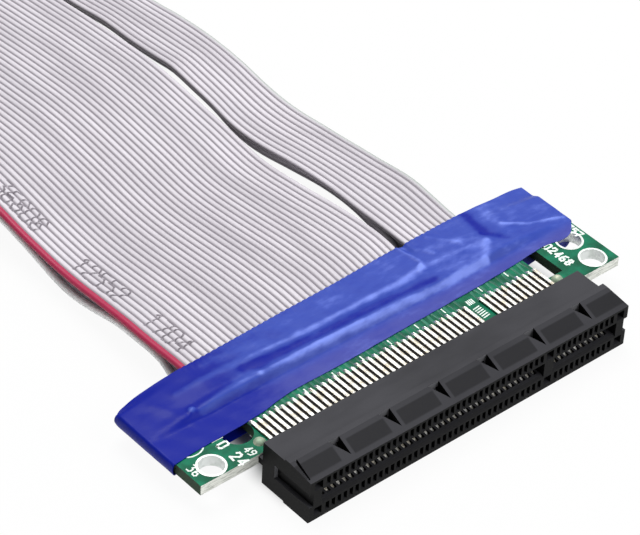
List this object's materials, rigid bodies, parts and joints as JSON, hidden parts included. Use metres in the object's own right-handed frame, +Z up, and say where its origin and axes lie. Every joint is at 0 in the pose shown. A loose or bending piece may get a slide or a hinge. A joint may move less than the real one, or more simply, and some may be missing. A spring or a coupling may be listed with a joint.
{
  "type": "pcie riser card",
  "caption": "Flexible riser: a card-edge slot socket on a small board, joined by flat ribbon cables to a card-edge plug board.",
  "frame": {"origin": "centre of the card slot's mouth", "axes": "+X along the slot, +Y from the mouth back along the ribbons, +Z up out of the upper faces"},
  "size_m": [0.0752, 0.19, 0.0074],
  "materials": {
    "housing_plastic": "moulded, slightly glossy",
    "contact_metal": "tinned",
    "solder": "bright solder",
    "board_laminate": "green solder mask on glass laminate",
    "gold": "gold plated",
    "tape": "creased film",
    "ribbon_jacket": "soft PVC",
    "copper_wire": "tinned copper strands"
  },
  "bodies": {
    "root": {"socket_housing": "housing_plastic", "contacts_upper": "contact_metal", "contacts_lower": "contact_metal", "tail_solder_upper": "solder", "tail_solder_lower": "solder", "anchor_solder": "solder", "socket_board": "board_laminate", "hole_eyelets": "solder", "wire_pads_socket_upper": "gold", "wire_pads_socket_lower": "gold", "wire_ends_socket_upper": "copper_wire", "wire_ends_socket_lower": "copper_wire", "wire_pads_card_upper": "gold", "wire_pads_card_lower": "gold", "wire_ends_card_upper": "copper_wire", "wire_ends_card_lower": "copper_wire", "edge_fingers_upper": "gold", "edge_fingers_lower": "gold", "card_edge_board": "board_laminate", "socket_tape": "tape", "card_tape": "tape", "ribbon_upper_wide": "ribbon_jacket", "ribbon_upper_narrow": "ribbon_jacket", "ribbon_lower_wide": "ribbon_jacket", "ribbon_lower_narrow": "ribbon_jacket"}
  },
  "joints": []
}
